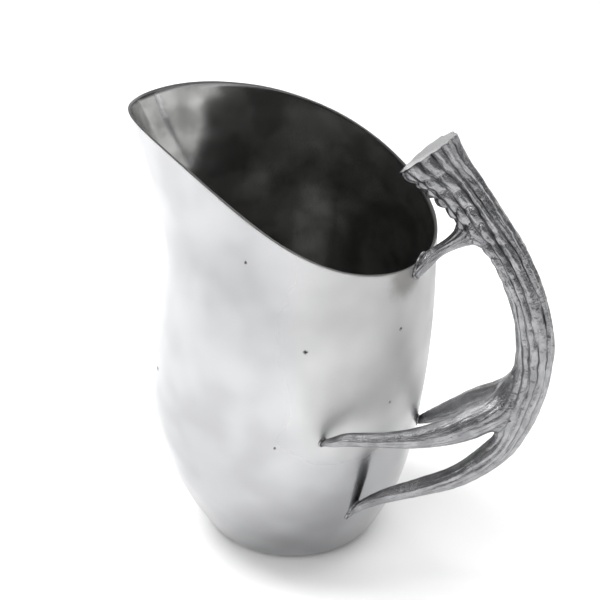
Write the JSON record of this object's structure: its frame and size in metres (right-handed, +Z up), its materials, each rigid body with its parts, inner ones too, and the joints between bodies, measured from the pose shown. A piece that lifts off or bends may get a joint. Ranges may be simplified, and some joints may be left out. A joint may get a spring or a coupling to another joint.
{
  "type": "water pitcher",
  "caption": "Polished cast metal water pitcher with a swept-up spout and a handle cast as a shed antler, its tines running down to the body.",
  "frame": {"origin": "centre of the ground base, on the surface that the pitcher stands on", "axes": "+Z up, +X from the base's centre towards the handle, -X towards the spout"},
  "size_m": [0.2226, 0.1408, 0.2368],
  "materials": {
    "polished_casting": "mirror polished, slightly wavy from the casting",
    "antiqued_casting": "buffed high points, dark antiqued grooves",
    "dressed_weld": "dressed and buffed weld bead"
  },
  "bodies": {
    "root": {"pitcher_body": "polished_casting", "antler_handle": "antiqued_casting", "brow_weld": "dressed_weld", "front_weld": "dressed_weld", "rear_weld": "dressed_weld", "lower_weld": "dressed_weld"}
  },
  "joints": []
}
